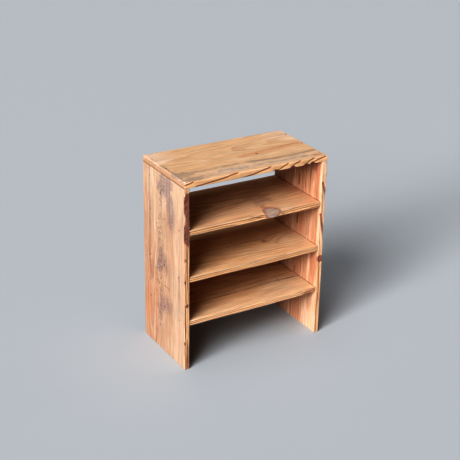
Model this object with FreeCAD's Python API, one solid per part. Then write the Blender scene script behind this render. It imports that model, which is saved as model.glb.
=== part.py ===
import FreeCAD, Part

import os

from FreeCAD import Placement, Rotation, Vector

# Small open shelf unit: two side boards, a top laid across them and three shelves
# between them, all cut from waney-edged softwood boards and screwed through from outside.
# Millimetres. Origin at the middle of the footprint, on the floor. +X to the right seen
# from the front, +Y towards the back, +Z up.

# Overall size.
WIDTH = 460.0
DEPTH = 247.0
HEIGHT = 570.0

# Boards.
SIDE_THICKNESS = 15.0
TOP_THICKNESS = 17.0
SHELF_THICKNESS = 15.0
SHELF_TOP_HEIGHTS = {"upper": 429.0, "middle": 288.0, "lower": 153.0}
SHELF_SETBACK = 1.0
ARRIS_RADIUS = 0.8

# Slim-head wood screws, with the head's face a little below the wood.
SCREW_ROWS = {"front": 33.0, "middle": 120.0, "back": 205.0}
SHELF_SCREW_LENGTH = 35.0
TOP_SCREW_LENGTH = 40.0
HEAD_RADIUS = 2.4
HEAD_RIM = 0.4
HEAD_HEIGHT = 2.2
HEAD_RECESS = 0.5
SHANK_RADIUS = 1.2
THREAD_RADIUS = 1.65
THREAD_ROOT_RADIUS = 1.1
THREAD_PITCH = 1.6
SMOOTH_SHARE = 0.34
POINT_LENGTH = 4.0
CROSS_SLOT_WIDTH = 0.7
CROSS_SLOT_LENGTH = 2.6
CROSS_SLOT_DEPTH = 1.2
CLEARANCE = 0.05

# Natural hollows left by the wane along each front edge. Each one is
# (start, end, depth at the lower face, depth at the upper face), measured along the board
# as it lies on the bench. A depth below zero means that the hollow dies out before it
# reaches that face. Standing up, the left board's lower bench face is its inner one, and
# the right board's lower bench face is its outer one.
WANE = {
    "left_side_board": [(392.0, 532.0, 1.0, 5.0), (96.0, 206.0, -0.6, 1.6)],
    "right_side_board": [
        (226.0, 262.0, 1.8, -0.5),
        (318.0, 396.0, 2.6, -0.6),
        (446.0, 494.0, 2.8, -0.4),
    ],
    "top_board": [
        (66.0, 158.0, 1.8, -0.5),
        (186.0, 278.0, 1.6, -0.4),
        (300.0, 372.0, 2.2, -0.6),
    ],
    "upper_shelf": [(40.0, 186.0, 1.4, -0.6), (316.0, 412.0, 1.6, -0.4)],
    "middle_shelf": [(130.0, 232.0, 1.5, -0.5)],
    "lower_shelf": [(70.0, 250.0, -0.6, 1.3), (372.0, 428.0, 3.0, -0.5)],
}

SHELF_LENGTH = WIDTH - 2 * SIDE_THICKNESS
SHELF_DEPTH = DEPTH - 2 * SHELF_SETBACK
SIDE_HEIGHT = HEIGHT - TOP_THICKNESS
FRONT = -DEPTH / 2
INNER_FACE = WIDTH / 2 - SIDE_THICKNESS


def wane_hollow(thickness, start, end, lower_depth, upper_depth):
    """A shallow hollow in a front edge: a large cylinder, leaning to cut one face deeper."""
    half_chord = (end - start) / 2
    depth = max(lower_depth, upper_depth)
    radius = (half_chord ** 2 + depth ** 2) / (2 * depth)
    foot = Vector(start + half_chord, lower_depth - radius, 0)
    head = Vector(start + half_chord, upper_depth - radius, thickness)
    lean = head - foot
    return Part.makeCylinder(radius, 3 * lean.Length, foot - lean, lean)


def bench_board(name, length, depth, thickness):
    """A board lying on the bench: length along X, front edge at Y 0, lower face at Z 0."""
    board = Part.makeBox(length, depth, thickness)
    arrises = [edge for edge in board.Edges if edge.BoundBox.XLength > length / 2]
    board = board.makeFillet(ARRIS_RADIUS, arrises)
    for hollow in WANE[name]:
        board = board.cut(wane_hollow(thickness, *hollow))
    return board


def lay_flat(board, left, front, bottom):
    """Move a board from the bench to its place without turning it."""
    return board.translated(Vector(left, front, bottom))


def stand_up(board, lower_face_x):
    """Stand a board on its left end, with its lower bench face at the given X."""
    upright = Rotation(Vector(0, 1, 0), -90)
    board = board.copy()
    board.Placement = Placement(Vector(lower_face_x, FRONT, 0), upright)
    return board


def make_boards():
    """All six boards in place, before the screw holes are drilled."""
    boards = {}
    upright = bench_board("left_side_board", SIDE_HEIGHT, DEPTH, SIDE_THICKNESS)
    boards["left_side_board"] = stand_up(upright, -INNER_FACE)
    upright = bench_board("right_side_board", SIDE_HEIGHT, DEPTH, SIDE_THICKNESS)
    boards["right_side_board"] = stand_up(upright, WIDTH / 2)
    top = bench_board("top_board", WIDTH, DEPTH, TOP_THICKNESS)
    boards["top_board"] = lay_flat(top, -WIDTH / 2, FRONT, SIDE_HEIGHT)
    for level, height in SHELF_TOP_HEIGHTS.items():
        name = level + "_shelf"
        shelf = bench_board(name, SHELF_LENGTH, SHELF_DEPTH, SHELF_THICKNESS)
        bottom = height - SHELF_THICKNESS
        boards[name] = lay_flat(shelf, -INNER_FACE, FRONT + SHELF_SETBACK, bottom)
    return boards


def turned(outline):
    """A solid turned about Z from (radius, height) points that start and end on the axis."""
    points = [Vector(radius, 0, height) for radius, height in outline]
    face = Part.Face(Part.makePolygon(points + [points[0]]))
    return face.revolve(Vector(0, 0, 0), Vector(0, 0, 1), 360)


def make_screw(length):
    """A wood screw pointing down, with the middle of its head's face at the origin."""
    smooth_end = length * SMOOTH_SHARE
    outline = [
        (0, 0),
        (HEAD_RADIUS, 0),
        (HEAD_RADIUS, -HEAD_RIM),
        (SHANK_RADIUS, -HEAD_HEIGHT),
        (SHANK_RADIUS, -smooth_end),
        (THREAD_ROOT_RADIUS, -smooth_end),
    ]
    threads = int((length - POINT_LENGTH - smooth_end) / THREAD_PITCH)
    for thread in range(threads):
        start = smooth_end + thread * THREAD_PITCH
        outline.append((THREAD_ROOT_RADIUS, -start - 0.25 * THREAD_PITCH))
        outline.append((THREAD_RADIUS, -start - 0.60 * THREAD_PITCH))
        outline.append((THREAD_ROOT_RADIUS, -start - 0.75 * THREAD_PITCH))
    outline.append((THREAD_ROOT_RADIUS, POINT_LENGTH - length))
    outline.append((0, -length))
    screw = turned(outline)
    for slot_size in ((CROSS_SLOT_LENGTH, CROSS_SLOT_WIDTH), (CROSS_SLOT_WIDTH, CROSS_SLOT_LENGTH)):
        corner = Vector(-slot_size[0] / 2, -slot_size[1] / 2, -CROSS_SLOT_DEPTH)
        screw = screw.cut(Part.makeBox(slot_size[0], slot_size[1], 2 * CROSS_SLOT_DEPTH, corner))
    return screw


def make_screw_hole(length):
    """The hole that a screw fills, with a mouth that reaches out past the wood's face."""
    head_radius = HEAD_RADIUS + CLEARANCE
    bore_radius = THREAD_RADIUS + CLEARANCE
    cone_end = HEAD_HEIGHT - (THREAD_RADIUS - SHANK_RADIUS)
    outline = [
        (0, 2 * HEAD_RECESS),
        (head_radius, 2 * HEAD_RECESS),
        (head_radius, -HEAD_RIM - CLEARANCE),
        (bore_radius, -cone_end - CLEARANCE),
        (bore_radius, POINT_LENGTH - length),
        (THREAD_ROOT_RADIUS / 2, -length - CLEARANCE),
        (0, -length - CLEARANCE),
    ]
    return turned(outline)


def screw_places():
    """Each screw's name, length, the centre of its head's face, its turn, and its boards."""
    places = []
    for row, distance in SCREW_ROWS.items():
        y = FRONT + distance
        for side, sign in (("left", -1), ("right", 1)):
            side_board = side + "_side_board"
            head = Vector(sign * (WIDTH / 2 - SIDE_THICKNESS / 2), y, HEIGHT - HEAD_RECESS)
            name = "top_board_{}_screw_{}".format(side, row)
            boards = ("top_board", side_board)
            places.append((name, TOP_SCREW_LENGTH, head, Rotation(), boards))
            inward = Rotation(Vector(0, 1, 0), 90 * sign)
            for level, height in SHELF_TOP_HEIGHTS.items():
                x = sign * (WIDTH / 2 - HEAD_RECESS)
                head = Vector(x, y, height - SHELF_THICKNESS / 2)
                name = "{}_shelf_{}_screw_{}".format(level, side, row)
                boards = (level + "_shelf", side_board)
                places.append((name, SHELF_SCREW_LENGTH, head, inward, boards))
    return places


def main():
    nodes = make_boards()
    for name, length, head, turn, boards in screw_places():
        place = Placement(head, turn)
        hole = make_screw_hole(length)
        hole.Placement = place
        for board in boards:
            nodes[board] = nodes[board].cut(hole)
        screw = make_screw(length)
        screw.Placement = place
        nodes[name] = screw
    os.makedirs("parts", exist_ok=True)
    for name, shape in nodes.items():
        solid = shape.Solids[0]
        solid.exportStep("parts/{}.step".format(name))
        print(name, len(shape.Solids), solid.isValid(), round(solid.Volume, 1))


main()
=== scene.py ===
import itertools
import math

import bpy
import numpy as np
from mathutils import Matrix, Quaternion, Vector


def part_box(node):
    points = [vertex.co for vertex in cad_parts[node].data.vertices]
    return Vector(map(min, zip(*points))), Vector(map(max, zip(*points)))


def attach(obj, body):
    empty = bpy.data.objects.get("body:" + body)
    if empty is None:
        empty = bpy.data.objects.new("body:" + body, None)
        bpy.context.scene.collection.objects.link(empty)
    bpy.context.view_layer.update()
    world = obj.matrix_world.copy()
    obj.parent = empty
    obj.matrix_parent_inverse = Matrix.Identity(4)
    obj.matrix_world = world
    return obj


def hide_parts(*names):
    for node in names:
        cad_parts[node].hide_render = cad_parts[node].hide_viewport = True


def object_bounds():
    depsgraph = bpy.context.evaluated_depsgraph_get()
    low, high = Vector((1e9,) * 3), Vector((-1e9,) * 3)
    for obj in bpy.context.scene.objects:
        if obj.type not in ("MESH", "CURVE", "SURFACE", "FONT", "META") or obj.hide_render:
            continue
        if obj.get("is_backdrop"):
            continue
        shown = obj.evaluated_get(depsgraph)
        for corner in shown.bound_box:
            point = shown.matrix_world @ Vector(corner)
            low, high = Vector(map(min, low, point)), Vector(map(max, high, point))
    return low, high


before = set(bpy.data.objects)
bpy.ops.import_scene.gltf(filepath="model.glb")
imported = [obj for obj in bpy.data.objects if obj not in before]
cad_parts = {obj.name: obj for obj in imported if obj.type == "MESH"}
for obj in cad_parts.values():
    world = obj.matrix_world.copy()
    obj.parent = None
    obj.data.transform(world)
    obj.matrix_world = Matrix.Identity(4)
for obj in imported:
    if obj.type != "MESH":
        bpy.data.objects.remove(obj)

# A small open shelf unit of waney-edged softwood boards, screwed together.
#
# Each board is made in its own bench frame, in millimetres, and then set in place in metres:
#   u runs along the grain, v from the front edge back, and w down from the show face.
# The show face is the outer face of a side board and the upper face of the top or a shelf.

CAD_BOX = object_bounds()
MM = 0.001
SHELVES = ("lower_shelf", "middle_shelf", "upper_shelf")

# The seed of all random fields, and the odd numbers that scramble a cell's place.
SEED = 20417
SALT_STRIDE = 7919
AXIS_FACTORS = (73856093, 19349663, 83492791)
SCRAMBLERS = (0x9E3779B97F4A7C15, 0xBF58476D1CE4E5B9)

# Surface lattice of a board, in millimetres.
ALONG_STEP = 2.1
ACROSS_STEP = 2.7
DEPTH_STEP = 0.9
ARRIS_LINES = (0.0, 0.3, 0.7, 1.2, 1.9)
FRONT_LINES = (2.8, 3.9, 5.2, 6.7, 8.4, 10.3, 12.4)

# How far back a board's natural front edge pulls its faces along, in millimetres.
FRONT_REACH = 42


# -------- random fields and masks

def soft_noise(points, cell, salt):
    """Smooth random values from -1 to 1 at points (n, 3): one lattice value per cell."""
    place = np.asarray(points, float) / np.asarray(cell, float)
    base = np.floor(place).astype(np.int64)
    part = place - base
    part = part * part * (3 - 2 * part)
    total = np.zeros(len(place))
    for corner in itertools.product((0, 1), repeat=3):
        number = (base + corner).astype(np.uint64)
        mixed = np.full(len(place), SEED + salt * SALT_STRIDE, np.uint64)
        for axis, factor in enumerate(AXIS_FACTORS):
            mixed ^= number[:, axis] * np.uint64(factor)
        mixed *= np.uint64(SCRAMBLERS[0])
        mixed ^= mixed >> np.uint64(29)
        mixed *= np.uint64(SCRAMBLERS[1])
        value = (mixed >> np.uint64(40)).astype(float) / 2 ** 23 - 1
        share = np.where(corner, part, 1 - part).prod(axis=1)
        total += share * value
    return total


def smooth(low, high, value):
    """0 below low, 1 above high, and an S-shaped rise between."""
    share = np.clip((value - low) / (high - low), 0, 1)
    return share * share * (3 - 2 * share)


def spot(u, v, centre, radii, lean=0.0):
    """A soft round patch: 1 at its centre and 0 from its rim out. lean turns it, in degrees."""
    turn = math.radians(lean)
    du = u - centre[0]
    dv = v - centre[1]
    along = du * math.cos(turn) + dv * math.sin(turn)
    across = dv * math.cos(turn) - du * math.sin(turn)
    return 1 - smooth(0.0, 1.0, np.hypot(along / radii[0], across / radii[1]))


def trail(u, v, points, width):
    """A soft line through the points: 1 along it and 0 from half its width out."""
    nearest = np.full(len(u), 1e9)
    for start, end in zip(points, points[1:]):
        run = (end[0] - start[0], end[1] - start[1])
        share = ((u - start[0]) * run[0] + (v - start[1]) * run[1]) / (run[0] ** 2 + run[1] ** 2)
        share = np.clip(share, 0, 1)
        gap = np.hypot(u - start[0] - share * run[0], v - start[1] - share * run[1])
        nearest = np.minimum(nearest, gap)
    return 1 - smooth(0.0, width / 2, nearest)


def spots(u, v, *patches):
    """The sum of soft patches, each given as its strength, centre, radii and perhaps lean."""
    return sum(strength * spot(u, v, *shape) for strength, *shape in patches)


def trails(u, v, *lines):
    """The sum of soft lines, each given as its strength, width and then its points."""
    return sum(strength * trail(u, v, points, width) for strength, width, *points in lines)


# -------- the boards

class Board:
    """One board's bench frame: its origin, its axes and its size in millimetres."""

    def __init__(self, node, facing):
        self.node = node
        low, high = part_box(node)
        size = (high - low) / MM
        if facing == "up":
            self.origin = Vector((low.x, low.y, high.z))
            self.axes = (Vector((1, 0, 0)), Vector((0, 1, 0)), Vector((0, 0, -1)))
            self.size = np.array((size.x, size.y, size.z))
        else:
            outer = low.x if facing == "left" else high.x
            inward = 1 if facing == "left" else -1
            self.origin = Vector((outer, low.y, low.z))
            self.axes = (Vector((0, 0, 1)), Vector((0, 1, 0)), Vector((inward, 0, 0)))
            self.size = np.array((size.z, size.y, size.x))

    def to_world(self, points):
        turn = np.array(self.axes)
        return points * MM @ turn + np.array(self.origin)

    def to_bench(self, points):
        turn = np.array(self.axes)
        return (points - np.array(self.origin)) @ turn.T / MM


def lattice_lines(length, step, front_lines=()):
    """Places of the lattice lines along one side: close together at both arrises."""
    near = list(ARRIS_LINES) + list(front_lines)
    far = [length - line for line in reversed(ARRIS_LINES)]
    count = max(2, round((far[0] - near[-1]) / step))
    between = np.linspace(near[-1], far[0], count + 1)[1:-1]
    return np.concatenate((near, between, far))


def lattice_shell(us, vs, ws):
    """Points and outward quads over the surface of a box lattice."""
    shape = (len(us), len(vs), len(ws))
    shell = np.ones(shape, bool)
    shell[1:-1, 1:-1, 1:-1] = False
    number = np.full(shape, -1)
    number[shell] = np.arange(shell.sum())
    i, j, k = np.nonzero(shell)
    points = np.stack((us[i], vs[j], ws[k]), axis=1)
    sheets = (
        (number[0], True), (number[-1], False),
        (number[:, 0], False), (number[:, -1], True),
        (number[:, :, 0], True), (number[:, :, -1], False),
    )
    quads = []
    for sheet, flip in sheets:
        corners = [sheet[:-1, :-1], sheet[1:, :-1], sheet[1:, 1:], sheet[:-1, 1:]]
        if flip:
            corners.reverse()
        quads.append(np.stack([corner.ravel() for corner in corners], axis=1))
    return points, np.concatenate(quads)


def round_arrises(points, size, radii):
    """Moves the points of a box shell onto rounded arrises. Gives the points and normals."""
    inner = np.clip(points, radii, size - radii)
    out = (points - inner) / radii
    out /= np.linalg.norm(out, axis=1)[:, None]
    moved = inner + radii * out
    normals = out / radii
    normals /= np.linalg.norm(normals, axis=1)[:, None]
    return moved, normals


def board_surface(board, form):
    """The board's points and quads in the bench frame, shaped by its form."""
    us = lattice_lines(board.size[0], ALONG_STEP)
    vs = lattice_lines(board.size[1], ACROSS_STEP, FRONT_LINES)
    ws = lattice_lines(board.size[2], DEPTH_STEP)
    points, quads = lattice_shell(us, vs, ws)
    # The arrises are worn more in some places than in others.
    wear = 1 + 0.45 * soft_noise(points, (34, 60, 60), form["salt"])
    wear += 0.2 * soft_noise(points, (9, 30, 30), form["salt"] + 1)
    wear *= np.where(points[:, 2] > board.size[2] / 2, form["under"], 1.0)
    radii = np.stack((np.full(len(points), form["end_radius"]),
                      form["arris_radius"] * wear, form["arris_radius"] * wear), axis=1)
    moved, normals = round_arrises(points, board.size, radii)
    u, v, w = moved.T
    recess = form["front"](u, w)
    reach = np.clip(1 - v / FRONT_REACH, 0, 1) ** 2
    # The faces are slightly uneven along the grain.
    relief = 0.07 * soft_noise(moved, (26, 5.5, 5.5), form["salt"] + 2)
    relief += 0.05 * soft_noise(moved, (7, 2.6, 2.6), form["salt"] + 3)
    relief += form["relief"](u, v, w)
    inside = smooth(0.0, 3.0, np.minimum(u, board.size[0] - u))
    moved = moved + normals * (relief * (0.3 + 0.7 * inside))[:, None]
    moved[:, 1] += recess * reach
    return moved, quads


def add_object(name, data):
    added = bpy.data.objects.new(name, data)
    bpy.context.scene.collection.objects.link(added)
    return added


def mesh_object(name, points, faces):
    mesh = bpy.data.meshes.new(name)
    mesh.from_pydata(points, [], faces)
    return add_object(name, mesh)


def lathe(outline, steps=20):
    """Points and faces of a closed turned shape from (radius, height) points off the axis."""
    points = []
    for radius, height in outline:
        for step in range(steps):
            angle = 2 * math.pi * step / steps
            points.append((radius * math.cos(angle), radius * math.sin(angle), height))
    faces = []
    for ring in range(len(outline) - 1):
        for step in range(steps):
            a = ring * steps + step
            b = ring * steps + (step + 1) % steps
            faces.append((a, b, b + steps, a + steps))
    faces.append(tuple(reversed(range(steps))))
    last = (len(outline) - 1) * steps
    faces.append(tuple(range(last, last + steps)))
    return points, faces


def screw_frame(node):
    """A screw's head centre, direction, length and head radius, from its box."""
    low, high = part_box(node)
    size = high - low
    centre = (low + high) / 2
    if size.z > size.x:
        return Vector((centre.x, centre.y, high.z)), Vector((0, 0, -1)), size.z, size.x / 2
    sign = 1 if centre.x < 0 else -1
    head_x = low.x if sign > 0 else high.x
    return Vector((head_x, centre.y, centre.z)), Vector((sign, 0, 0)), size.x, size.y / 2


def hole_cutters(nodes):
    """One object with the hole of each screw: a mouth, a countersink and a tapered bore."""
    points, faces = [], []
    for node in nodes:
        head, inward, length, head_radius = screw_frame(node)
        bore = 0.75 * head_radius
        outline = (
            (1.16 * head_radius, 2.5 * MM),
            (1.08 * head_radius, 0.25 * MM),
            (1.04 * head_radius, -0.5 * MM),
            (bore, -2.3 * MM),
            (bore, 4.0 * MM - length),
            (0.25 * bore, -length - 0.2 * MM),
        )
        ring_points, ring_faces = lathe(outline)
        turn = (-inward).to_track_quat("Z", "Y")
        base = len(points)
        points.extend(tuple(head + turn @ Vector(point)) for point in ring_points)
        faces.extend(tuple(base + corner for corner in face) for face in ring_faces)
    return mesh_object("cutters", points, faces)


def subtract(piece, cutters):
    """Cuts the cutters out of the piece, and removes them."""
    cut = piece.modifiers.new("cut", "BOOLEAN")
    cut.operation = "DIFFERENCE"
    cut.solver = "EXACT"
    cut.object = cutters
    graph = bpy.context.evaluated_depsgraph_get()
    mesh = bpy.data.meshes.new_from_object(piece.evaluated_get(graph), depsgraph=graph)
    piece.modifiers.clear()
    old = piece.data
    piece.data = mesh
    mesh.name = piece.name
    bpy.data.meshes.remove(old)
    bpy.data.objects.remove(cutters)


def paint(piece, board, masks):
    """Stores each mask, a function of (u, v, w) in millimetres, as a mesh attribute."""
    mesh = piece.data
    places = np.empty(len(mesh.vertices) * 3)
    mesh.vertices.foreach_get("co", places)
    u, v, w = board.to_bench(places.reshape(-1, 3)).T
    for name, mask in masks.items():
        layer = mesh.attributes.new(name, "FLOAT", "POINT")
        layer.data.foreach_set("value", np.asarray(mask(u, v, w), dtype=np.float32))


SCREWS = [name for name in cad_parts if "_screw_" in name]


def screws_in(node):
    """The screws that pass into a board, from their names."""
    side = node.split("_")[0] if node.endswith("side_board") else None
    if side:
        return [name for name in SCREWS if "_" + side + "_screw" in name]
    return [name for name in SCREWS if name.startswith(node + "_")]


def screw_marks(board):
    """A mask of the bruised, rusty ring round each screw's head."""
    heads = [tuple(screw_frame(node)[0]) for node in screws_in(board.node)]
    places = board.to_bench(np.array(heads))

    def mask(u, v, w):
        gaps = [np.sqrt((u - x) ** 2 + (v - y) ** 2 + (w - z) ** 2) for x, y, z in places]
        return 1 - smooth(1.8, 4.2, np.min(gaps, axis=0))

    return mask


def arris_wear_and_highlight(board):
    """A mask of the arrises, which are paler: partly rubbed wear, partly painted highlight. 1 at an
    arris, and 0 from about 3 mm in.
    """
    def mask(u, v, w):
        gaps = [np.minimum(place, length - place) for place, length in zip((u, v, w), board.size)]
        return 1 - smooth(0.5, 3.2, np.sort(np.stack(gaps), axis=0)[1])

    return mask


# -------- what nature did to each board

def on_show(w):
    """1 on the show face, and 0 from 5 mm below it."""
    return 1 - smooth(2.5, 5.0, w)


def on_hidden(w, thickness):
    """1 on the face that lies opposite the show face."""
    return smooth(thickness - 5.0, thickness - 2.5, w)


def near_front(v, reach):
    """1 at the front edge, and 0 from the reach back."""
    return 1 - smooth(0.4 * reach, reach, v)


def crease_gap(u, w, points):
    """Distance in millimetres below a crease that runs along the front edge."""
    us, ws = zip(*points)
    slope = (ws[-1] - ws[0]) / (us[-1] - us[0])
    gap = (w - np.interp(u, us, ws)) / math.hypot(1, slope)
    ends = smooth(us[0] - 7, us[0] + 3, u) * (1 - smooth(us[-1] - 3, us[-1] + 7, u))
    return gap, ends


def scales(u, w, creases, step, run):
    """Recess of the overlapping scales of a natural edge: each steps in below its crease."""
    total = np.zeros(len(u))
    for points in creases:
        gap, ends = crease_gap(u, w, points)
        total += step * ends * smooth(-0.9, 0.5, gap) * np.exp(-np.clip(gap, 0, None) / run)
    return total


def crease_lines(u, w, creases, width):
    """A mask of the lines under the scales. Where it darkens the colour, it is painted shade under
    each scale's step.
    """
    gaps = [crease_gap(u, w, points) for points in creases]
    return np.max([ends * np.clip(1.15 - np.abs(gap - 0.5) / width, 0, 1)
                   for gap, ends in gaps], axis=0)


def edge_noise(u, w, cell, salt):
    """Soft noise on a front edge. Its features are a cell long and half a cell high."""
    return soft_noise(np.stack((u, w * 2, w * 0), axis=1), (*cell, 1), salt)


# Year layers that come out at a front edge: their rise along it, their pitch and their salt.
LAYERS = {
    "left_side_board": (0.008, 5.0, 14), "upper_shelf": (0.012, 6.2, 42),
    "middle_shelf": (0.022, 6.0, 52), "lower_shelf": (0.018, 5.6, 62),
}


def layer_phase(u, w, node):
    """How many year layers a place on the front edge is from the start."""
    rise, pitch, salt = LAYERS[node]
    phase = w + rise * u + 1.6 * edge_noise(u, w, (76, 60), salt)
    return (phase + 0.4 * edge_noise(u, w, (24, 20), salt + 1)) / pitch


def layer_recess(u, w, node):
    """Recess of the front edge, in millimetres: each layer wears back and then steps out."""
    phase = layer_phase(u, w, node)
    share = phase - np.floor(phase)
    return 0.85 * share ** 1.6 * (1 - smooth(0.9, 1.0, share))


# Features that show both in a board's shape and in its colour. Those on a front edge are
# given by u and w, and those on a show face by u and v.
LEFT_GROOVE = ((98, 3.2), (118, 4), (140, 3.4), (170, 2.8), (197, 4.4))
LEFT_LINES = (
    ((4, 9), (60, 10.5), (96, 8)),
    ((210, 5), (262, 3.6), (330, 4.6)),
    ((250, 11), (318, 8.4), (384, 9.5)),
)
RIGHT_BARK = (
    ((324, -1), (346, 4), (368, 8), (390, 12)),
    ((450, -1), (466, 4), (487, 10.5)),
)
RIGHT_LINES = (
    ((6, 6), (70, 9.5), (150, 5.5), (226, 8)),
    ((268, 5), (300, 8.5), (330, 11)),
    ((404, 4), (446, 9)),
    ((496, 6), (548, 9)),
)
TOP_CREASES = (
    ((1, 6.5), (26, 1)),
    ((35, 14.5), (83, 10.5), (121, 6.7), (143, 2), (165, 0)),
    ((172, 17), (216, 12.4), (248, 5.7), (270, 1)),
    ((281, 18), (298, 13.3), (314, 6.7), (327, 1)),
    ((338, 17), (343, 11.4), (352, 4.8), (368, 1)),
    ((384, 17), (390, 11.4), (403, 3.8), (415, 0)),
    ((409, 13.3), (431, 6.7), (453, 1)),
)
TOP_BITES = (283, 341, 386, 408)
UPPER_KNOT = (271, 12)
UPPER_CRACK = ((190, 7), (212, 4), (240, 0.5))
UPPER_LINES = (
    ((2, 4.6), (110, 3.6), (205, 4.4), (236, 6.5)),
    ((196, 1.5), (222, 5), (242, 9.5)),
    ((300, 10), (330, 7), (372, 5.5), (428, 5)),
    ((296, 5), (316, 2.5), (340, 1.5)),
)
LOWER_STREAK = ((60, 86), (237, 90), (330, 97), (430, 93))


def left_front(u, w):
    bark = smooth(378, 410, u) * (1 - smooth(530, 546, u))
    recess = 0.35 + 0.35 * edge_noise(u, w, (46, 60), 11)
    recess += 0.35 * layer_recess(u, w, "left_side_board")
    recess += bark * (4.6 - 0.24 * w) * (0.8 + 0.3 * edge_noise(u, w, (15, 24), 12))
    recess += bark * 0.8 * edge_noise(u, w, (5, 6), 13)
    recess += 1.5 * trail(u, w, LEFT_GROOVE, 4.2) + 0.5 * crease_lines(u, w, LEFT_LINES, 2.4)
    recess += 1.0 * spot(u, w, (84, 2), (14, 4)) + 0.7 * spot(u, w, (276, 2), (12, 4))
    return recess - 0.9 * spot(u, w, (203, 8), (7, 6))


def right_front(u, w):
    recess = 0.4 + 0.4 * edge_noise(u, w, (38, 60), 21)
    recess += 2.0 * sum(trail(u, w, streak, 12.0) for streak in RIGHT_BARK)
    recess += 1.2 * spot(u, w, (246, 6), (16, 12))
    recess += scales(u, w, RIGHT_LINES, 0.9, 4.0)
    return recess + 0.4 * edge_noise(u, w, (10, 14), 22) * smooth(300, 340, u)


def top_front(u, w):
    recess = 0.5 + 0.35 * edge_noise(u, w, (52, 60), 31)
    recess += scales(u, w, TOP_CREASES, 2.1, 6.0)
    return recess + 2.4 * sum(spot(u, w, (place + 3, 18.5), (13, 8)) for place in TOP_BITES)


def middle_front(u, w):
    recess = 0.4 * (1 + edge_noise(u, w, (44, 40), 51))
    return recess + layer_recess(u, w, "middle_shelf")


def upper_front(u, w):
    recess = 0.4 * (1 + edge_noise(u, w, (44, 40), 41))
    recess += scales(u, w, UPPER_LINES, 1.1, 4.0)
    return recess - 1.2 * spot(u, w, (UPPER_KNOT[0] - 3, 4), (34, 16))


def lower_front(u, w):
    recess = 0.5 * (1 + edge_noise(u, w, (44, 40), 61))
    recess += layer_recess(u, w, "lower_shelf")
    return recess + 2.6 * smooth(372, 402, u) * smooth(3, 13, w)


def nothing(u, v, w):
    return np.zeros(len(u))


def left_relief(u, v, w):
    dents = 0.35 * trail(u, v, ((500, 139), (470, 142), (440, 141), (398, 145)), 5)
    dents += 0.3 * trail(u, v, ((214, 48), (215, 110), (212, 170)), 3)
    dents += 0.25 * spot(u, v, (271, 149), (24, 20)) + 0.25 * spot(u, v, (150, 132), (34, 26))
    return -dents * on_show(w)


def right_relief(u, v, w):
    sway = 1.1 * edge_noise(u, 0 * v, (31, 9), 24) + 0.5 * edge_noise(u, 0 * v, (12, 9), 25)
    edge = near_front(v, 17) * on_show(w)
    return edge * (sway * smooth(250, 330, u) - 1.6 * smooth(515, 548, u) + 0.5)


def top_relief(u, v, w):
    bites = [spot(u, w, (place + 4, 17.5), (13, 10)) for place in TOP_BITES]
    return -2.6 * np.max(bites, axis=0) * near_front(v, 12)


def upper_relief(u, v, w):
    swell = 0.9 * spot(u, v, UPPER_KNOT, (40, 40)) - 0.5 * spot(u, v, UPPER_KNOT, (20, 22))
    return on_show(w) * (swell - 0.8 * trail(u, v, UPPER_CRACK, 2.6))


def make_form(salt, front, relief=nothing, arris=1.5, end=1.0, under=0.5):
    return {"salt": salt, "front": front, "relief": relief, "arris_radius": arris,
            "end_radius": end, "under": under}


FORMS = {
    "left_side_board": make_form(100, left_front, left_relief, 1.5, 1.3, 0.8),
    "right_side_board": make_form(120, right_front, right_relief, 1.7, 1.3, 0.8),
    "top_board": make_form(140, top_front, top_relief, 1.9, 1.7),
    "upper_shelf": make_form(160, upper_front, upper_relief),
    "middle_shelf": make_form(180, middle_front),
    "lower_shelf": make_form(200, lower_front, arris=2.4),
}


def ring_swirl(u, v, centre, radii, push):
    """How far the growth rings are pushed out round a knot, in millimetres."""
    gap = ((u - centre[0]) / radii[0]) ** 2 + ((v - centre[1]) / radii[1]) ** 2
    return push * np.exp(-gap)


# Where the shelves' faces touch a side board, in millimetres up from the floor.
SHELF_FACES = [corner.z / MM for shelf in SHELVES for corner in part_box(shelf)]


def shelf_seams(u, v, w, board):
    """Grime and painted shade where the shelves meet the inner face of a side board, and under the
    top.
    """
    length, _, thick = board.size
    total = smooth(length - 5.0, length - 1.0, u)
    for height in SHELF_FACES:
        total = np.maximum(total, 1 - smooth(0.2, 2.4, np.abs(u - height)))
    return 0.7 * total * on_hidden(w, thick) * smooth(1.5, 4.0, v)


# Darker ends of a shelf's show face, where it meets the side boards: dirt and painted shade.
def shelf_end_dirt_and_shade(u, length):
    return 0.7 * np.maximum(1 - smooth(0.2, 2.6, u), smooth(length - 2.6, length - 0.2, u))


def side_seams(u, v, w, board):
    """The dark joint lines on a side board, dirt and painted shade: at the shelves, and under the
    top.
    """
    length = board.size[0]
    under_top = 0.6 * smooth(length - 3.0, length - 0.6, u) * smooth(1.5, 4.0, v)
    return np.maximum(shelf_seams(u, v, w, board), under_top)


def by_name(*masks):
    return {mask.__name__: mask for mask in masks}


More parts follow.
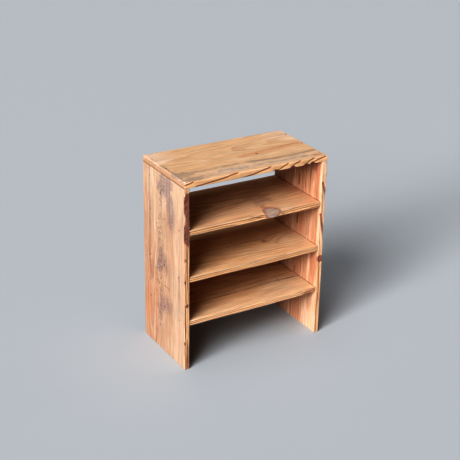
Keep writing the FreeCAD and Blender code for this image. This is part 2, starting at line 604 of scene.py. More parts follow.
def left_masks(board):
    thick = board.size[2]

    def grey(u, v, w):
        stains = spots(
            u, v, (1.6, (517, 126), (42, 60), 14), (1, (536, 90), (26, 42)),
            (0.7, (546, 118), (14, 66)), (1.1, (444, 80), (84, 44), -4), (0.8, (488, 92), (50, 34)),
            (0.95, (286, 128), (50, 70), -14), (0.5, (264, 158), (30, 26)),
            (1.1, (160, 108), (56, 60)), (0.5, (128, 146), (46, 22)))
        streaks = trails(
            u, v, (0.45, 46, (505, 138), (400, 142), (300, 140), (60, 143)),
            (1.1, 16, (553, 207), (430, 207), (300, 210), (200, 206)),
            (0.35, 44, (250, 168), (20, 166)))
        return (stains + streaks) * on_show(w)

    def torn(u, v, w):
        zone = trails(
            u, v, (1.2, 44, (506, 138), (470, 142), (432, 141), (370, 147)),
            (0.8, 60, (392, 150), (350, 146), (300, 136)),
            (1.1, 50, (300, 134), (252, 150), (190, 146)),
            (1, 34, (165, 140), (66, 145)), (0.5, 16, (540, 210), (300, 210)))
        zone += spots(u, v, (0.5, (350, 110), (80, 50)), (0.45, (180, 96), (90, 50)))
        return zone * on_show(w)

    def line(u, v, w):
        show = trails(u, v, (0.75, 2.6, (214, 52), (216, 110), (213, 176)),
                      (0.6, 4.0, (62, 131), (30, 132), (0, 131)))
        # The crease lines on the front edge are painted shade under the scales' steps.
        edge = trail(u, w, LEFT_GROOVE, 5.0) + 0.9 * crease_lines(u, w, LEFT_LINES, 1.8)
        return show * on_show(w) + edge * near_front(v, 6) + side_seams(u, v, w, board)

    def mark(u, v, w):
        show = 0.8 * trail(u, v, ((271, 33), (152, 34)), 7) + spot(u, v, (276, 36), (7, 6))
        edge = spots(u, w, (1, (84, 2), (14, 5)), (1, (203, 3), (10, 6)),
                     (1, (276, 2), (11, 5)), (0.8, (343, 3), (13, 5)))
        return show * on_show(w) + edge * near_front(v, 6)

    def bark(u, v, w):
        zone = smooth(380, 404, u + 1.2 * (w - 8)) * (1 - smooth(532, 544, u))
        bare = spots(u, w, (1, (462, 0.5), (36, 7)), (0.9, (535, 0.5), (12, 4)))
        inner = smooth(thick - 3.0, thick - 1.2, w) * (1 - smooth(490, 505, u))
        return np.clip(1.25 * zone - 1.5 * bare - 1.1 * inner, 0, 1.2) * near_front(v, 7.5)

    def knot(u, v, w):
        return spot(u, w, (203, 8), (10, 8)) * near_front(v, 7)

    def swirl(u, v, w):
        push = ring_swirl(u, w * 3, (203, 24), (26, 20), 5.0) * near_front(v, 20)
        return push + ring_swirl(u, v, (535, 110), (60, 40), 5.0)

    def red(u, v, w):
        foot = spot(u, v, (120, 212), (90, 90))
        back = smooth(150, 215, v) * (0.55 - 0.3 * smooth(300, 420, u) + 0.4 * foot)
        show = trails(u, v, (0.8, 15, (356, 33), (200, 34), (60, 33)),
                      (0.5, 40, (240, 165), (20, 165)), (0.35, 40, (430, 12), (130, 12)))
        edge = (1 - smooth(70, 110, u)) + 0.8 * spot(u, w, (300, 12), (90, 9))
        return back + show * on_show(w) + 0.7 * near_front(v, 6) * edge

    def pale(u, v, w):
        show = trails(u, v, (0.7, 24, (0, 50), (400, 52)), (0.8, 30, (553, 178), (260, 174)),
                      (0.3, 18, (0, 10), (553, 10)), (0.8, 16, (540, 160), (370, 158)))
        show += smooth(390, 530, u + 0.2 * v) * (1 - 0.5 * smooth(190, 235, v))
        show += 0.7 * spot(u, v, (40, 80), (60, 60))
        return show * on_show(w) + near_front(v, 5) * spot(u, w, (540, 5), (16, 9))

    return by_name(grey, torn, line, mark, bark, knot, swirl, red, pale)


def right_masks(board):
    thick = board.size[2]

    def grey(u, v, w):
        show = spots(u, v, (1, (430, 150), (90, 40)), (0.9, (180, 90), (90, 30), 6))
        # Under the top, back from the front edge, the inner face is greyed darker: painted shade.
        inner = 0.8 * smooth(470, 540, u) * smooth(16, 30, v)
        inner += 0.5 * spot(u, v, (330, 60), (70, 30))
        return show * on_show(w) + inner * on_hidden(w, thick)

    def line(u, v, w):
        slits = trails(
            u, v, (1, 4.5, (351, 114), (334, 115), (318, 116)),
            (1, 3.2, (524, 80), (486, 81), (446, 80)), (1, 3.0, (536, 47), (512, 47)),
            (0.8, 2.6, (400, 66), (300, 64)), (0.7, 2.4, (420, 30), (300, 31)),
            (0.8, 2.6, (262, 84), (160, 86)))
        # The crease lines on the front edge are painted shade under the scales' steps.
        edge = crease_lines(u, w, RIGHT_LINES, 1.7) * near_front(v, 6)
        edge *= 0.7 - 0.4 * smooth(250, 290, u)
        return slits * on_hidden(w, thick) + edge + side_seams(u, v, w, board)

    def mark(u, v, w):
        inner = trails(u, v, (1, 9, (349, 114), (320, 116)), (1, 9, (476, 112), (446, 114)),
                       (1, 9, (178, 118), (158, 119)), (0.8, 12, (520, 56), (440, 58)))
        return inner * on_hidden(w, thick)

    def bark(u, v, w):
        flecks = [1.2 * trail(u, w, streak, 10.5) for streak in RIGHT_BARK]
        flecks.append(spot(u, w, (247, 4.5), (13, 10)))
        return np.max(flecks, axis=0) * near_front(v, 9)

    def knot(u, v, w):
        return 0.75 * spot(u, w, (247, 7.0), (20, 17)) * near_front(v, 10)

    def swirl(u, v, w):
        push = ring_swirl(u, v, (247, 0), (34, 16), 6.0)
        push += ring_swirl(u, v, (334, 114), (34, 12), 5.0)
        push += ring_swirl(u, v, (459, 113), (34, 12), 5.0)
        return push + ring_swirl(u, v, (168, 118), (30, 12), 4.0)

    def red(u, v, w):
        streaks = trail(u, v, ((0, 20), (553, 18)), 22) * smooth(120, 175, u)
        # The last term makes the inner face darker and redder under the top: painted shade.
        streaks += 0.7 * trail(u, v, ((553, 96), (0, 98)), 44) + 0.5 * smooth(480, 530, u)
        streaks += 1.4 * spot(u, v, (226, 22), (72, 36))
        front = 0.7 * near_front(v, 7) * spot(u, w, (120, 8), (40, 20))
        return streaks * on_hidden(w, thick) + front

    def pale(u, v, w):
        inner = trails(u, v, (0.8, 24, (0, 52), (480, 40)), (0.7, 20, (553, 136), (0, 140)))
        inner += 1.5 * spot(u, v, (24, 30), (74, 70))
        high = 2.0 * near_front(v, 6) * smooth(250, 290, u)
        low = 0.8 * near_front(v, 17) * smooth(3, 6, v) * (1 - spot(u, v, (226, 10), (80, 60)))
        return low + high + inner * on_hidden(w, thick)

    return by_name(grey, line, mark, bark, knot, swirl, red, pale)


def top_masks(board):
    def grey(u, v, w):
        stains = spots(u, v, (1.1, (22, 58), (52, 36)), (1.2, (36, 17), (52, 22)))
        stains += trails(
            u, v, (0.9, 20, (6, 150), (8, 40)), (0.6, 24, (4, 63), (110, 61), (200, 62)),
            (0.9, 26, (236, 60), (300, 52), (352, 50), (408, 52), (450, 56)),
            (0.35, 26, (120, 34), (250, 30), (400, 28)), (0.2, 60, (60, 24), (430, 22)))
        stains += 0.25 * (1 - smooth(50, 105, v))
        return stains * on_show(w) * smooth(1, 4.0, v)

    def line(u, v, w):
        # The crease lines on the front edge are painted shade under the scales' steps.
        edge = crease_lines(u, w, TOP_CREASES, 3.0) * near_front(v, 7)
        show = trails(u, v, (0.5, 7.0, (248, 112), (340, 122), (446, 130)),
                      (0.5, 6.0, (200, 66), (330, 62), (450, 64)),
                      (0.5, 6.0, (4, 54), (90, 53), (170, 55)))
        # A dark seam at the foot of the left end, where the top sits on the side board: dirt and
        # painted shade.
        band = 0.5 * (1 - smooth(1, 6.0, board.size[2] - w)) * (1 - smooth(3, 8, u))
        return edge + show * on_show(w) + band

    def mark(u, v, w):
        show = spot(u, v, (289, 107), (8, 6))
        show += 0.5 * trail(u, v, ((250, 116), (340, 126), (446, 133)), 8)
        return show * on_show(w)

    def bark(u, v, w):
        bites = [spot(u, w, (place + 3, 18.5), (14, 8)) for place in TOP_BITES]
        return 1.2 * np.max(bites, axis=0) * near_front(v, 8)

    def swirl(u, v, w):
        push = ring_swirl(u, v, (205, 176), (40, 22), 5.0)
        return push + ring_swirl(u, v, (128, 122), (34, 20), -4.0)

    def red(u, v, w):
        show = 0.8 * trail(u, v, ((236, 106), (330, 114), (440, 128)), 52)
        show += spots(u, v, (0.7, (27, 104), (18, 14)), (0.9, (436, 20), (32, 20)))
        return show * on_show(w)

    def pale(u, v, w):
        show = spots(u, v, (1, (206, 183), (26, 8)), (1, (128, 124), (20, 9), -30),
                     (0.9, (152, 34), (26, 12)))
        show += trails(u, v, (0.7, 14, (210, 84), (300, 86), (420, 82)),
                       (0.7, 30, (110, 26), (240, 28), (380, 20)), (0.5, 12, (60, 40), (400, 38)))
        show += 0.9 * ((1 - smooth(0, 130, u)) + 0.8 * smooth(290, 460, u)) * smooth(110, 190, v)
        # The upper arris of the left end, which faces the lamps, is made paler: a painted
        # highlight.
        ends = 1 - smooth(0.5, 3.5, u)
        return show * on_show(w) + 0.9 * ends * (1 - smooth(2, 5, w))

    return by_name(grey, line, mark, bark, swirl, red, pale)


def upper_masks(board):
    def grey(u, v, w):
        stain = spots(u, v, (0.9, (284, 90), (66, 40)), (0.5, (262, 58), (30, 30)))
        return stain * on_show(w)

    def line(u, v, w):
        # The crease lines on the front edge are painted shade under the scales' steps.
        front = 0.8 * crease_lines(u, w, UPPER_LINES, 2.0) * near_front(v, 6)
        show = trails(u, v, (1, 3.4, *UPPER_CRACK), (0.5, 2.6, (252, 2), (253, 18), (259, 34)))
        return show * on_show(w) + front + shelf_end_dirt_and_shade(u, board.size[0])

    def knot(u, v, w):
        top = 1.25 * spot(u, v, (UPPER_KNOT[0] - 1, 9.0), (38, 42))
        face = 1.2 * spot(u, w, (UPPER_KNOT[0] - 4, 0), (37, 28)) * near_front(v, 6)
        return np.maximum(top * on_show(w), face)

    def swirl(u, v, w):
        return ring_swirl(u, v, UPPER_KNOT, (62, 40), 15.0)

    def red(u, v, w):
        stem = spots(u, v, (1, (266, 38), (26, 32)), (0.8, (300, 24), (20, 24)))
        return stem * on_show(w) + 0.5 * smooth(340, 420, u)

    def pale(u, v, w):
        # The pale strip along the front arris, the second term, is a painted highlight.
        show = 1.4 * spot(u, v, (318, 16), (48, 34)) + 0.8 * (1 - smooth(1.5, 5.0, v))
        return show * on_show(w)

    return by_name(grey, line, knot, swirl, red, pale)


def middle_masks(board):
    def grey(u, v, w):
        return 0.9 * spot(u, v, (311, 108), (28, 22)) * on_show(w)

    def line(u, v, w):
        return shelf_end_dirt_and_shade(u, board.size[0])

    def mark(u, v, w):
        show = spots(u, v, (0.6, (304, 189), (8, 9)), (0.6, (197, 123), (9, 7)),
                     (0.4, (309, 112), (8, 7)))
        show += 0.4 * trail(u, v, ((90, 66), (240, 74)), 6)
        return show * on_show(w)

    def knot(u, v, w):
        return 0.4 * spot(u, v, (311, 109), (16, 13)) * on_show(w)

    def swirl(u, v, w):
        return ring_swirl(u, v, (311, 109), (52, 30), 7.0)

    def red(u, v, w):
        return 0.35 * smooth(60, 160, v)

    def pale(u, v, w):
        # The pale strip along the front arris, the second term, is a painted highlight.
        show = 0.5 * near_front(v, 60) + 0.6 * (1 - smooth(1.5, 5.0, v))
        show += spots(u, v, (1.3, (400, 86), (130, 76)), (0.7, (250, 66), (130, 44)))
        return show * on_show(w)

    return by_name(grey, line, mark, knot, swirl, red, pale)


def lower_masks(board):
    def grey(u, v, w):
        return 0.6 * trail(u, v, ((230, 84), (360, 96), (430, 92)), 18) * on_show(w)

    def line(u, v, w):
        show = 0.6 * trail(u, v, LOWER_STREAK, 6.0)
        return show * on_show(w) + shelf_end_dirt_and_shade(u, board.size[0])

    def mark(u, v, w):
        show = trails(u, v, (0.7, 9, *LOWER_STREAK), (0.7, 6, (359, 112), (357, 86)))
        return show * on_show(w)

    def swirl(u, v, w):
        return ring_swirl(u, v, (395, 6), (40, 26), 7.0)

    def red(u, v, w):
        return 0.8 * smooth(372, 400, u) * near_front(v, 9) + 0.3 * smooth(90, 180, v)

    def pale(u, v, w):
        show = 0.6 * near_front(v, 80) + 1.2 * spot(u, v, (370, 82), (170, 66))
        return show * on_show(w)

    return by_name(grey, line, mark, swirl, red, pale)


# -------- materials

def linear(red, green, blue):
    """A colour given as display values from 0 to 255."""
    values = []
    for part in (red, green, blue):
        share = part / 255
        values.append(share / 12.92 if share <= 0.04045 else ((share + 0.055) / 1.055) ** 2.4)
    return (*values, 1.0)


class Graph:
    """A material's node tree. Most methods add a node and give its output socket."""

    def __init__(self, name):
        self.material = bpy.data.materials.new(name)
        self.material.use_nodes = True
        self.tree = self.material.node_tree
        self.tree.nodes.clear()

    def add(self, kind, inputs, output=0, **settings):
        node = self.tree.nodes.new(kind)
        for key, value in settings.items():
            setattr(node, key, value)
        for key, value in inputs.items():
            if isinstance(value, bpy.types.NodeSocket):
                self.tree.links.new(value, node.inputs[key])
            else:
                node.inputs[key].default_value = value
        return node.outputs[output] if len(node.outputs) else None

    def math(self, operation, a, b=0.0, c=0.0):
        inputs = {0: a, 1: b, 2: c}
        return self.add("ShaderNodeMath", inputs, operation=operation)

    def times(self, a, b):
        return self.math("MULTIPLY", a, b)

    def plus(self, a, b):
        return self.math("ADD", a, b)

    def minus(self, a, b):
        return self.math("SUBTRACT", a, b)

    def times_plus(self, a, b, c):
        """a times b, plus c."""
        return self.math("MULTIPLY_ADD", a, b, c)

    def surface(self, inputs):
        """Ends the tree with a shader of these inputs, and gives the material."""
        shader = self.add("ShaderNodeBsdfPrincipled", inputs)
        self.add("ShaderNodeOutputMaterial", {"Surface": shader})
        return self.material

    def step(self, value, low, high, start=0.0, end=1.0):
        inputs = {"Value": value, "From Min": low, "From Max": high, "To Min": start, "To Max": end}
        return self.add("ShaderNodeMapRange", inputs, interpolation_type="SMOOTHSTEP")

    def mix(self, share, a, b, blend="MIX"):
        inputs = {0: share, 6: a, 7: b}
        return self.add("ShaderNodeMix", inputs, 2, data_type="RGBA", blend_type=blend)

    def shade(self, share, colour, factor):
        """The colour, and where the share is 1 the colour times a factor."""
        return self.mix(share, colour, factor, "MULTIPLY")

    def vector(self, operation, a, b):
        output = 1 if operation in ("DOT_PRODUCT", "LENGTH") else 0
        return self.add("ShaderNodeVectorMath", {0: a, 1: b}, output, operation=operation)

    def join(self, x, y, z):
        return self.add("ShaderNodeCombineXYZ", {0: x, 1: y, 2: z})

    def neutral(self, value):
        """A grey of that value, to multiply a colour by."""
        return self.join(value, value, value)

    def noise(self, u, v, w, cells, detail=2.0, rough=0.5):
        """Noise from 0 to 1, with its cell size along each axis in millimetres."""
        place = self.join(self.math("DIVIDE", u, cells[0]), self.math("DIVIDE", v, cells[1]),
                          self.math("DIVIDE", w, cells[2]))
        inputs = {"Vector": place, "Scale": 1.0, "Detail": detail, "Roughness": rough}
        return self.add("ShaderNodeTexNoise", inputs)

    def swing(self, noise, amount):
        """1 plus or minus an amount, from noise that stays mostly between 0.3 and 0.7."""
        return self.times_plus(noise, 4 * amount, 1 - 2 * amount)

    def mask(self, name):
        return self.add("ShaderNodeAttribute", {}, 2, attribute_name=name)


def coordinates(graph, origin, axes):
    """A place's three coordinates in millimetres, from the piece's own coordinates."""
    place = graph.add("ShaderNodeTexCoord", {}, 3)
    place = graph.vector("SUBTRACT", place, tuple(origin))
    return [graph.math("DIVIDE", graph.vector("DOT_PRODUCT", place, tuple(axis)), MM)
            for axis in axes]


# How far slow and quick noise push the growth rings, and how far apart the boards' noise
# is read, all in millimetres.
RING_BEND = 14.0
RING_RIPPLE = 2.6
SALT_SHIFT = 911.0


def wood_material(board, look):
    """Softwood: growth rings round a pith, fibres, heartwood and sapwood, stains and bark."""
    g = Graph(board.node + "_wood")
    u, v, w = coordinates(g, board.origin, board.axes)
    shift = g.plus(u, look["salt"] * SALT_SHIFT)

    def noise(cells, detail=2.0, rough=0.5):
        """Noise that differs from board to board."""
        return g.noise(shift, v, w, cells, detail, rough)

    # Growth rings. A knot pushes them aside, and slow noise bends them.
    bend = g.times(g.minus(noise((230, 60, 60)), 0.5), RING_BEND)
    ripple = g.times(g.minus(noise((46, 15, 15)), 0.5), RING_RIPPLE)
    from_pith = g.minus(v, look["pith"][0])
    depth = g.minus(w, look["pith"][1])
    depth = g.times_plus(u, look["slope"], depth)
    radius = g.vector("LENGTH", g.join(0.0, from_pith, depth), (0, 0, 0))
    radius = g.plus(g.plus(radius, bend), g.plus(ripple, g.mask("swirl")))
    uneven = g.noise(radius, 3.7, look["salt"], (26, 1, 1), 1.0)
    age = g.times_plus(uneven, 1.8, g.math("DIVIDE", radius, look["ring"]))
    share = g.math("FRACT", age)
    year = g.add("ShaderNodeTexWhiteNoise", {"W": g.math("FLOOR", age)}, noise_dimensions="1D")
    late = g.times(g.step(share, 0.22, 0.9), g.step(share, 0.9, 1.0, 1.0, 0.0))
    late = g.times(late, g.times_plus(year, 0.75, 0.35))

    # Fibres, and slow changes of tone.
    fibre = noise((40, 0.8, 0.8), 3.0, 0.6)
    streak = noise((240, 6.0, 6.0), 3.0, 0.6)
    stripe = noise((110, 2.4, 2.4), 2.0, 0.5)
    cloud = noise((120, 26, 26), 2.0)
    grit = noise((1.6, 1.1, 1.1), 3.0, 0.6)
    broken = noise((22, 5.0, 5.0), 4.0, 0.65)
    drift = noise((70, 17, 17), 2.0)
    slant = g.times_plus(v, 0.09, g.times_plus(drift, 14.0, shift))
    saw = g.noise(slant, v, w, (4.8, 22, 22), 3.0, 0.55)
    chatter = g.noise(slant, v, w, (11, 6.5, 6.5), 4.0, 0.62)
    break_up = g.times_plus(broken, 1.3, g.times_plus(drift, 1.1, -1.2))

    def patch(name, low, high, strength=1.0):
        """A mask with its edges broken up along the grain, and nothing where it is 0."""
        mask = g.mask(name)
        value = g.times_plus(break_up, strength, mask)
        return g.times(g.step(value, low, high), g.step(mask, 0.02, 0.2))

    # Heartwood is redder than sapwood.
    heart = g.step(radius, look["sap_at"] - 9, look["sap_at"] + 6, 1.0, 0.0)
    heart = g.times(heart, g.times_plus(cloud, 0.9, 0.4))
    early = g.mix(heart, look["sap"], look["heart"])
    dark = g.mix(heart, look["sap_late"], look["heart_late"])
    early = g.mix(g.times(g.step(streak, 0.5, 0.72), look["streaks"]), early, look["red"])
    early = g.mix(g.times(g.step(streak, 0.5, 0.3), look["streaks"]), early, look["pale"])
    early = g.mix(g.times(g.mask("edge"), 0.85), early, look["edge"])
    early = g.mix(g.times(patch("red", 0.2, 1.0, 0.8), 0.75), early, look["red"])
    early = g.mix(g.times(patch("pale", 0.2, 1.0, 0.8), 0.7), early, look["pale"])
    # Every arris is paler: partly wear, partly painted highlight.
    wear_and_highlight = g.times(g.step(g.plus(g.mask("wear_and_highlight"), break_up), 0.35, 1.0), 0.55)
    early = g.mix(wear_and_highlight, early, look["pale"])
    wood = g.mix(g.times(late, look["contrast"]), early, dark)
    grain = look["grain"]
    tone = g.times(g.swing(stripe, 0.5 * grain), g.swing(fibre, 0.3 * grain))
    tone = g.times(tone, g.swing(streak, 0.35 * grain))
    tone = g.times(tone, g.swing(drift, 0.12))
    wood = g.shade(1.0, wood, g.neutral(tone))

    # End grain drinks more light.
    normal = g.add("ShaderNodeNewGeometry", {}, 1)
    across = g.math("ABSOLUTE", g.vector("DOT_PRODUCT", normal, tuple(board.axes[0])))
    end = g.step(across, 0.55, 0.9)
    wood = g.shade(g.times(end, 0.55), wood, look["end"])

    # The side that was never planed is grey and dull, more so in some streaks.
    unplaned = g.times(g.mask("unplaned"), g.step(streak, 0.3, 0.6, 0.7, 1.0))
    wood = g.shade(unplaned, wood, linear(202, 217, 240))

    # Weathered patches, which under the top of the right board's inner face are painted shade; dark
    # marks, bruises round the screws, knots and bark.
    grey = g.times(patch("grey", 0.25, 1.0, 1.7), 0.9)
    grey = g.times(grey, g.step(stripe, 0.38, 0.58, 0.35, 1.0))
    wood = g.shade(grey, wood, look["weather"])
    rough_sawn = g.step(g.math("MAXIMUM", g.mask("grey"), g.mask("torn")), 0.05, 0.7, 0.12, 1.0)
    sawn = g.times(g.minus(saw, 0.5), rough_sawn)
    sawn = g.times_plus(sawn, look["sawn"], 1.0)
    wood = g.shade(1.0, wood, g.neutral(sawn))
    torn = g.step(g.plus(g.mask("torn"), break_up), 0.25, 1.0)
    torn = g.times(torn, g.step(g.mask("torn"), 0.02, 0.2))
    wood = g.mix(g.times(torn, g.step(chatter, 0.46, 0.34, 0.0, 0.6)), wood, look["pale"])
    tear = g.times(torn, g.step(chatter, 0.52, 0.66))
    wood = g.shade(g.times(tear, 0.85), wood, linear(132, 112, 110))
    wood = g.shade(patch("mark", 0.3, 0.85, 0.8), wood, linear(150, 114, 92))
    wood = g.shade(patch("screw", 0.3, 0.95, 0.3), wood, linear(160, 130, 114))
    knot_tone = g.neutral(g.step(broken, 0.35, 0.65, 0.68, 1.15))
    knot = g.times_plus(break_up, 0.16, g.mask("knot"))
    wood = g.mix(g.step(knot, 0.14, 0.34), wood, g.shade(1.0, knot_tone, look["knot_rim"]))
    wood = g.mix(g.step(knot, 0.38, 0.72), wood, g.shade(1.0, knot_tone, look["knot_core"]))
    # The year layers on a front edge are darkened in the recessed part of each layer, before it
    # steps out: partly their own lines, partly painted shade.
    layer = g.math("FRACT", g.mask("layer"))
    layer = g.times(g.step(layer, 0.35, 0.7), g.step(layer, 0.9, 1.0, 1.0, 0.0))
    layer = g.times(layer, g.times(g.mask("edge"), g.step(drift, 0.35, 0.62, 0.3, 0.85)))
    layer = g.times(layer, g.step(knot, 0.1, 0.3, 1.0, 0.0))
    # The line mask darkens cracks, slits, grooves and streaks. Under the creases of a natural edge
    # it is painted shade, and at the joints it is dirt and painted shade.
    line = g.math("MAXIMUM", g.step(g.mask("line"), 0.15, 0.8), layer)
    wood = g.shade(g.times(line, 0.94), wood, look["line"])
    flakes = noise((9, 3, 3), 4.0, 0.7)
    flake_tone = g.step(flakes, 0.36, 0.66, 0.5, 1.4)
    bark_wood = g.shade(1.0, g.neutral(flake_tone), look["bark"])
    bark = patch("bark", 0.3, 0.6, 0.7)
    rim = g.minus(patch("bark", 0.05, 0.35, 0.7), bark)
    wood = g.shade(g.times(rim, 0.8), wood, linear(196, 136, 112))
    wood = g.mix(bark, wood, bark_wood)

    # Relief that is too fine for the mesh.
    height = g.times_plus(late, 0.5, g.times(fibre, 0.6))
    height = g.plus(height, g.times_plus(grit, 0.35, g.times(stripe, 0.8)))
    height = g.plus(height, g.times(bark, g.times(flakes, 3.5)))
    height = g.minus(height, g.times_plus(tear, 0.8, g.times(line, 1.4)))
    bump = g.add("ShaderNodeBump", {"Height": height, "Strength": 0.6, "Distance": 0.5 * MM})
    rough = g.times_plus(streak, 0.16, g.times_plus(late, -0.08, 0.56))
    rough = g.plus(rough, g.times(g.math("MAXIMUM", grey, bark), 0.16))
    return g.surface({
        "Base Color": wood, "Roughness": rough, "Normal": bump, "Specular IOR Level": 0.35,
    })


# Colours are display values from 0 to 255. These hold where a board's look says nothing else.
WOOD_COLOURS = {
    "sap_late": (162, 108, 72), "heart_late": (138, 78, 48), "red": (186, 112, 74),
    "pale": (214, 176, 138), "edge": (239, 184, 130), "end": (200, 164, 138),
    # weather greys weathered patches, and paints shade under the top of the right board's inner
    # face.
    "line": (146, 112, 90), "weather": (186, 184, 198), "bark": (118, 71, 55),
    "knot_core": (178, 150, 130), "knot_rim": (162, 108, 84),
}


def wood_look(salt, pith, slope, ring, sap_at, streaks=0.4, sawn=0.35, **others):
    """A board's wood: its pith, ring width and start of the sapwood are in millimetres."""
    look = {"salt": salt, "pith": pith, "slope": slope, "ring": ring, "sap_at": sap_at,
            "streaks": streaks, "sawn": sawn}
    for name, value in {**WOOD_COLOURS, **others}.items():
        look[name] = linear(*value) if isinstance(value, tuple) else value
    return look


LOOKS = {
    "left_side_board": wood_look(
        1, (196, 74), 0.03, 5.2, 150, streaks=0.65, sawn=1.0, contrast=0.58, grain=0.54,
        sap=(179, 149, 124), heart=(169, 132, 103), pale=(191, 161, 130), red=(170, 114, 78),
        weather=(172, 176, 210), edge=(240, 184, 133), knot_core=(120, 76, 64),
        knot_rim=(150, 100, 80)),
    "right_side_board": wood_look(
        2, (150, -52), -0.025, 5.4, 150, streaks=0.65, contrast=0.62, grain=0.46,
        sap=(193, 149, 114), heart=(184, 128, 94), pale=(226, 182, 148), red=(180, 110, 76),
        edge=(219, 166, 118), bark=(158, 98, 74), knot_core=(108, 64, 60),
        knot_rim=(156, 94, 76)),
    "top_board": wood_look(
        3, (168, 92), 0.04, 5.6, 142, contrast=0.32, grain=0.36,
        sap=(209, 170, 132), heart=(204, 162, 120), pale=(216, 184, 158), red=(194, 134, 96),
        weather=(171, 181, 199), edge=(216, 162, 112), bark=(104, 62, 40),
        end=(179, 157, 152), line=(172, 126, 92)),
    "upper_shelf": wood_look(4, (120, 66), -0.03, 5.2, 150, contrast=0.48, grain=0.44,
                             sap=(223, 181, 140), heart=(217, 165, 123)),
    "middle_shelf": wood_look(5, (90, 84), 0.035, 5.8, 160, contrast=0.4, grain=0.4,
                              sap=(224, 179, 132), heart=(217, 163, 115), edge=(233, 178, 125)),
    "lower_shelf": wood_look(6, (150, 78), -0.035, 6.2, 160, contrast=0.4, grain=0.4,
                             sap=(224, 177, 132), heart=(218, 162, 117), edge=(240, 186, 138)),
}


def steel_material():
    """Dulled zinc plating with blotches of rust and fine scratches."""
    g = Graph("screw_steel")
    x, y, z = coordinates(g, (0, 0, 0), ((1, 0, 0), (0, 1, 0), (0, 0, 1)))
    blotch = g.noise(x, y, z, (1.4, 1.4, 1.4), 3.0, 0.6)
    scratch = g.noise(x, y, z, (0.3, 0.3, 0.3), 2.0)
    rust = g.step(blotch, 0.42, 0.66)
    colour = g.mix(rust, linear(112, 104, 94), linear(78, 50, 34))
    rough = g.times_plus(rust, 0.35, g.times_plus(scratch, 0.2, 0.3))
    metal = g.minus(1.0, g.times(rust, 0.8))
    bump = g.add("ShaderNodeBump", {"Height": blotch, "Strength": 0.3, "Distance": 0.1 * MM})
    return g.surface({
        "Base Color": colour, "Roughness": rough, "Metallic": metal, "Normal": bump,
    })


# -------- making the unit

# Which way a board's show face looks, where that isn't up.
FACINGS = {"left_side_board": "left", "right_side_board": "right"}
MASKS = {
    "left_side_board": left_masks, "right_side_board": right_masks, "top_board": top_masks,
    "upper_shelf": upper_masks, "middle_shelf": middle_masks, "lower_shelf": lower_masks,
}
# Masks that are nothing on a board that doesn't have them.
OTHER_MASKS = ("grey", "torn", "line", "mark", "bark", "knot", "layer", "unplaned")
SLOTS = {"left_side_board": "side_wood", "right_side_board": "side_wood", "top_board": "top_wood"}


def make_board(node):
    board = Board(node, FACINGS.get(node, "up"))
    points, quads = board_surface(board, FORMS[node])
    if np.linalg.det(np.array(board.axes)) < 0:
        quads = quads[:, ::-1]
    piece = mesh_object(node + "_wood", board.to_world(points).tolist(), quads.tolist())
    piece.data.validate()
    subtract(piece, hole_cutters(screws_in(node)))
    masks = dict.fromkeys(OTHER_MASKS, nothing)
    masks.update(MASKS[node](board))
    masks["screw"] = screw_marks(board)
    masks["wear_and_highlight"] = arris_wear_and_highlight(board)
    masks["edge"] = lambda u, v, w: near_front(v, 5)
    # The photograph shows the right board's inner face, and it is a planed one.
    if node != "right_side_board":
        masks["unplaned"] = lambda u, v, w: smooth(board.size[2] - 1.4, board.size[2] - 0.5, w)
    if node in LAYERS:
        masks["layer"] = lambda u, v, w: layer_phase(u, w, node)
    paint(piece, board, masks)
    piece.data.shade_smooth()
    piece.data.materials.clear()
    piece.data.materials.append(wood_material(board, LOOKS[node]))
    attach(piece, "root")
    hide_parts(node)
    SLOTS.get(node, "shelf_wood")


for node in FORMS:
    make_board(node)

STEEL = steel_material()
for node in SCREWS:
    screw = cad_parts[node]
    screw.data.materials.clear()
    screw.data.materials.append(STEEL)


# -------- stage, light and camera

FLOOR_SIZE = 24.0
FLOOR_DROP = 0.5 * MM           # keeps the floor clear of the boards' worn ends
WALL_STRENGTH = 0.8


def make_stage():
    """A pale floor that runs out to the horizon."""
    half = FLOOR_SIZE / 2
    corners = [(-half, -half, 0), (half, -half, 0), (half, half, 0), (-half, half, 0)]
    floor = mesh_object("floor", corners, [(0, 1, 2, 3)])
    floor.location.z = -FLOOR_DROP
    grey = {"Base Color": linear(168, 168, 167), "Roughness": 0.8}
    floor.data.materials.append(Graph("floor_grey").surface(grey))
    floor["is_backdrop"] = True


def make_light(name, direction, spread, strength, colour):
    """A soft light from far away. Its spread is the angle in degrees that it fills."""
    lamp = bpy.data.lights.new(name, "SUN")
    lamp.energy = strength
    lamp.angle = math.radians(spread)
    lamp.color = colour
    light = add_object(name, lamp)
    light.rotation_mode = "QUATERNION"
    light.rotation_quaternion = Vector(direction).to_track_quat("Z", "Y")


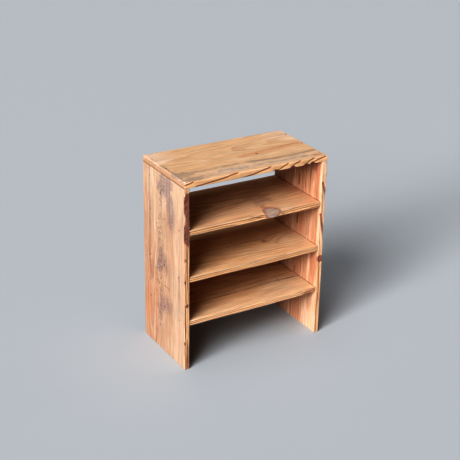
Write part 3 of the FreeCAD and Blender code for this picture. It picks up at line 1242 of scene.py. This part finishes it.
def make_world(colour, strength):
    """Faint light from all round. What the camera sees behind the unit is a plain pale wall."""
    world = bpy.data.worlds.new("studio")
    world.use_nodes = True
    nodes, links = world.node_tree.nodes, world.node_tree.links
    glow = nodes["Background"]
    glow.inputs["Color"].default_value = colour
    glow.inputs["Strength"].default_value = strength
    wall = nodes.new("ShaderNodeBackground")
    wall.inputs["Color"].default_value = colour
    wall.inputs["Strength"].default_value = WALL_STRENGTH
    choice = nodes.new("ShaderNodeMixShader")
    links.new(nodes.new("ShaderNodeLightPath").outputs["Is Camera Ray"], choice.inputs[0])
    links.new(glow.outputs[0], choice.inputs[1])
    links.new(wall.outputs[0], choice.inputs[2])
    links.new(choice.outputs[0], nodes["World Output"].inputs["Surface"])
    bpy.context.scene.world = world


def make_camera():
    """The photograph's view: from the left, well above the unit, with a long lens."""
    camera = add_object("camera", bpy.data.cameras.new("camera"))
    camera.location = (-1.501, -2.462, 1.630)
    azimuth = math.radians(-31.13)
    elevation = math.radians(24.13)
    roll = math.radians(1.12)
    back = Vector((math.sin(azimuth) * math.cos(elevation),
                   -math.cos(azimuth) * math.cos(elevation), math.sin(elevation)))
    camera.rotation_mode = "QUATERNION"
    camera.rotation_quaternion = back.to_track_quat("Z", "Y") @ Quaternion((0, 0, 1), roll)
    camera.data.lens = 85.13
    camera.data.sensor_width = 36.0
    camera.data.dof.use_dof = False
    bpy.context.scene.camera = camera


make_stage()
make_light("low_window", (-0.90, -0.32, 0.31), 14.0, 2.1, (0.87, 0.91, 0.975))
make_light("high_window", (-0.70, -0.34, 0.63), 28.0, 2.15, (0.87, 0.91, 0.975))
make_light("fill", (-0.70, -0.54, 0.47), 26.0, 1.3, (0.87, 0.925, 1.0))
make_light("ceiling", (-0.12, 0.0, 1.0), 40.0, 0.8, (0.86, 0.915, 1.0))
make_light("right_window", (1.0, 0.0, 0.02), 6.0, 0.9, (0.98, 0.99, 1.0))
make_light("back_window", (0.0, 1.0, 0.0), 3.0, 0.7, (0.98, 0.99, 1.0))
make_world(linear(222, 226, 230), 0.02)
make_camera()
bpy.context.scene.view_settings.view_transform = "Standard"
bpy.context.scene.view_settings.look = "High Contrast"

boxes = {"cad": CAD_BOX, "visual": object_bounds()}
{name: [list(corner) for corner in box] for name, box in boxes.items()}
